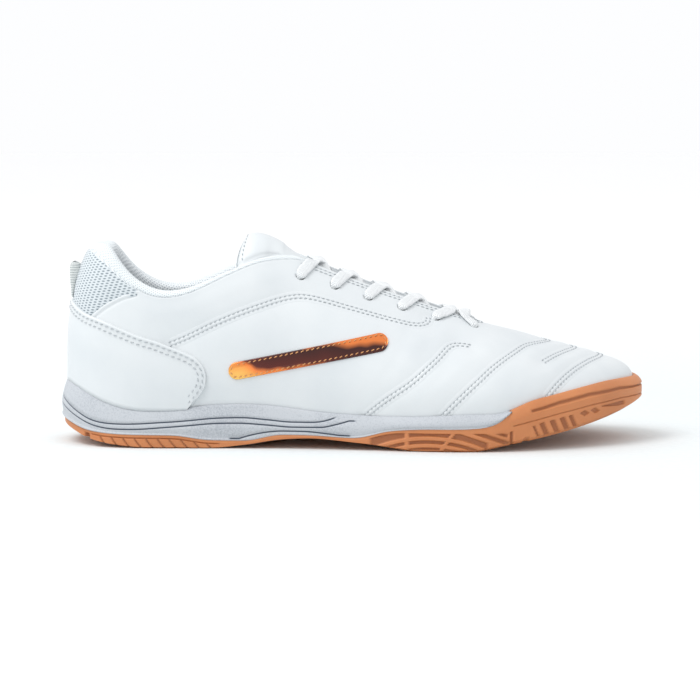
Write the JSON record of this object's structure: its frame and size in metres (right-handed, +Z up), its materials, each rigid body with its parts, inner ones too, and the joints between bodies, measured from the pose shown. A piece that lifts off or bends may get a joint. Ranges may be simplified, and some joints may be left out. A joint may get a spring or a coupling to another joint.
{
  "type": "indoor soccer shoe",
  "caption": "Low-cut right indoor soccer shoe: white stitched leather upper, padded mesh collar, flat laces, foam midsole and gum rubber sole turned up over the toe.",
  "frame": {"origin": "on the floor, under the middle of the sole's overall box", "axes": "+X towards the toe, +Y towards the inner side of the foot, +Z up"},
  "size_m": [0.288, 0.0988, 0.1022],
  "materials": {
    "gum_rubber": "matte moulded gum rubber",
    "midsole_foam": "moulded foam with a fine sand texture",
    "coated_leather": "smooth white coated leather, semi-gloss",
    "spacer_mesh": "padded knitted mesh and woven tape",
    "sock_fabric": "flat woven lining",
    "lace_braid": "flat braided polyester",
    "copper_foil": "glossy copper foil film, sewn on"
  },
  "bodies": {
    "root": {"outsole": "gum_rubber", "midsole": "midsole_foam", "upper": "coated_leather", "heel_counter": "coated_leather", "tongue": "coated_leather", "collar": "spacer_mesh", "pull_tab": "spacer_mesh", "insole": "sock_fabric", "lace_cross_1": "lace_braid", "lace_cross_2": "lace_braid", "lace_cross_3": "lace_braid", "lace_cross_4": "lace_braid", "lace_cross_5": "lace_braid", "lace_bar": "lace_braid", "side_bar": "copper_foil"}
  },
  "joints": []
}
